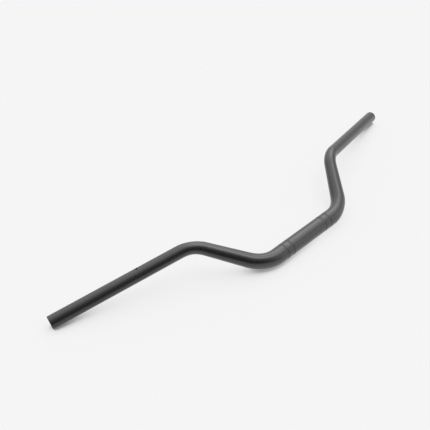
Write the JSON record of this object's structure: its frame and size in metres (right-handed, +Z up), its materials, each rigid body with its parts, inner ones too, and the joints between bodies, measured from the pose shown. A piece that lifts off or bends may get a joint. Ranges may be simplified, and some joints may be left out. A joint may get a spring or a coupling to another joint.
{
  "type": "bicycle handlebar",
  "caption": "Wide riser handlebar of one tapered, bent tube, with a fat centre for a stem clamp and slim ends for grips and levers.",
  "frame": {"origin": "middle of the clamp section, on the tube's axis", "axes": "+X along the clamp section towards the right-hand grip, +Y from the clamp towards the grips' ends, +Z up, with the bar lying as it comes to rest on a floor: on the clamp's underside and both cut ends"},
  "size_m": [0.8468, 0.1828, 0.063],
  "materials": {
    "bar_finish": "satin black"
  },
  "bodies": {
    "root": {"handlebar": "bar_finish"}
  },
  "joints": []
}
